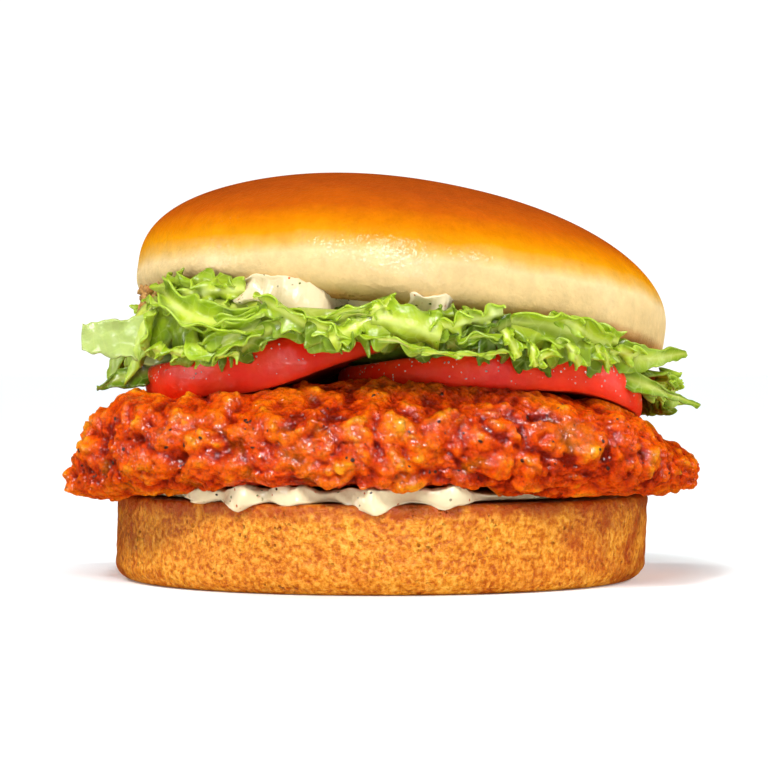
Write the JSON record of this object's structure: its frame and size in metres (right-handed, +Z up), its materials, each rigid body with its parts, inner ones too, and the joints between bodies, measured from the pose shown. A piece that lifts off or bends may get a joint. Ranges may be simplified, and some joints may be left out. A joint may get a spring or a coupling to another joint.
{
  "type": "chicken burger",
  "caption": "Chicken burger with a glossy leaning bun, frilly lettuce, tomato slices, a spicy craggy breaded fillet and creamy sauce.",
  "frame": {"origin": "middle of the bounding box at the flat base of the lower bun half", "axes": "+X to the viewer's right across the front, along the longest extent; +Y from the front to the back; +Z up"},
  "size_m": [0.1274, 0.1148, 0.0802],
  "materials": {
    "heel_crust": "toasted bread crust with fine pores",
    "sauce": "smooth creamy sauce with small flecks",
    "spiced_breading": "glossy orange-red fried breading with pepper flecks",
    "tomato": "wet red tomato skin",
    "lettuce": "crisp green leaf, paler at the ribs",
    "bun_crust": "glazed brown crust over a pale cream side"
  },
  "bodies": {
    "root": {"bun_bottom": "heel_crust", "sauce_lower": "sauce", "chicken_fillet": "spiced_breading", "tomato_left": "tomato", "tomato_right": "tomato", "lettuce": "lettuce", "sauce_upper": "sauce", "bun_top": "bun_crust"}
  },
  "joints": []
}
